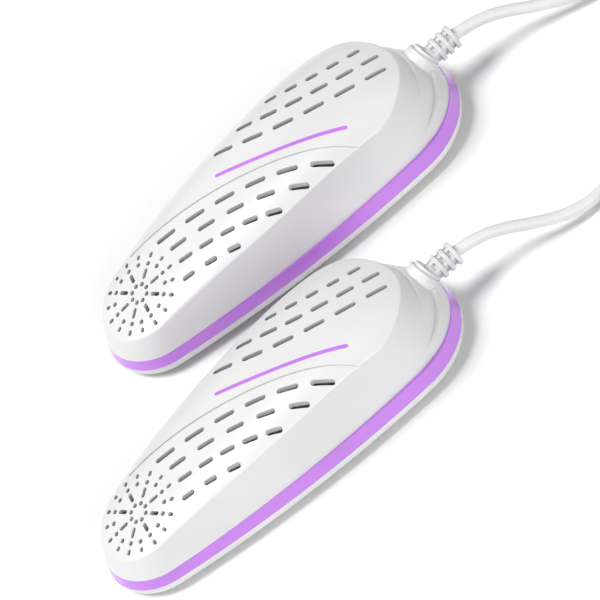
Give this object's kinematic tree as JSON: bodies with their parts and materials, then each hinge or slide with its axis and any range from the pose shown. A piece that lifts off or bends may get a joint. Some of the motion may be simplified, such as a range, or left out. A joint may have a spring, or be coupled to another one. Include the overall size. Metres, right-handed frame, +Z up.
{
  "type": "boot dryer",
  "caption": "Pair of corded electric boot dryers: slotted, egg-shaped heated cases that slide into boots, on one two-pin mains plug.",
  "frame": {"origin": "middle of the pair on the surface it stands on, leads and plug left out", "axes": "+X from the toes to the heels where the leads leave, +Y towards the far dryer, +Z up"},
  "size_m": [0.3962, 0.1994, 0.0368],
  "materials": {
    "shell_white": "glossy",
    "trim_purple": "glossy",
    "screw_steel": "satin",
    "foot_rubber": "matte",
    "insulator": "matte",
    "contact_brass": "satin",
    "ceramic": "matte",
    "heater_aluminium": "satin",
    "fuse_metal": "satin",
    "wire_insulation": "matte",
    "cord_white": "satin",
    "clamp_plastic": "satin",
    "relief_white": "satin",
    "tie_white": "satin",
    "plug_white": "satin",
    "sleeve_black": "satin",
    "pin_metal": "polished"
  },
  "bodies": {
    "dryer_pair": {"far_case_screws": "screw_steel", "far_clamp_screws": "screw_steel", "far_coil": "cord_white", "far_contact_strip": "contact_brass", "far_cord_clamp": "clamp_plastic", "far_cord_stub": "cord_white", "far_heater_plate": "heater_aluminium", "far_heater_screws": "screw_steel", "far_inlay_strip": "trim_purple", "far_inner_wires": "wire_insulation", "far_insulator_sheet": "insulator", "far_lead": "cord_white", "far_lower_shell": "shell_white", "far_ptc_chips": "ceramic", "far_rubber_feet": "foot_rubber", "far_strain_relief": "relief_white", "far_tail": "cord_white", "far_thermal_fuse": "fuse_metal", "far_tie": "tie_white", "far_trim_band": "trim_purple", "far_upper_shell": "shell_white", "near_case_screws": "screw_steel", "near_clamp_screws": "screw_steel", "near_coil": "cord_white", "near_contact_strip": "contact_brass", "near_cord_clamp": "clamp_plastic", "near_cord_stub": "cord_white", "near_heater_plate": "heater_aluminium", "near_heater_screws": "screw_steel", "near_inlay_strip": "trim_purple", "near_inner_wires": "wire_insulation", "near_insulator_sheet": "insulator", "near_lead": "cord_white", "near_lower_shell": "shell_white", "near_ptc_chips": "ceramic", "near_rubber_feet": "foot_rubber", "near_strain_relief": "relief_white", "near_tail": "cord_white", "near_thermal_fuse": "fuse_metal", "near_tie": "tie_white", "near_trim_band": "trim_purple", "near_upper_shell": "shell_white", "pin_sleeves": "sleeve_black", "plug_body": "plug_white", "plug_pins": "pin_metal"}
  },
  "joints": []
}
